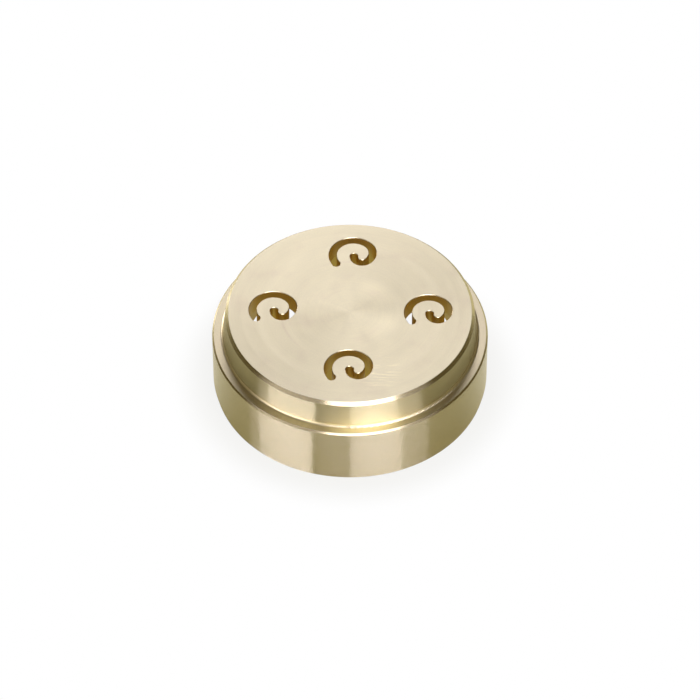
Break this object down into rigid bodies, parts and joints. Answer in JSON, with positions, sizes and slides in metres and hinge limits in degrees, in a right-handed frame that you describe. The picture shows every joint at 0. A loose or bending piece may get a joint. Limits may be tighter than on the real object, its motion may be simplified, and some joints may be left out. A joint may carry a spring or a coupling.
{
  "type": "pasta extrusion die",
  "caption": "Round stepped brass pasta die, hollow at the back round a central hub, with curled slots through its face that shape dough into curled short pasta.",
  "frame": {"origin": "middle of the back rim's plane, on the axis of the die", "axes": "+Z along the axis of the die, out of the extrusion face; +X towards one of the slots"},
  "size_m": [0.057, 0.057, 0.0195],
  "materials": {
    "brass": "fine turned, satin on the face and bright on the edges"
  },
  "bodies": {
    "root": {"die_body": "brass"}
  },
  "joints": []
}
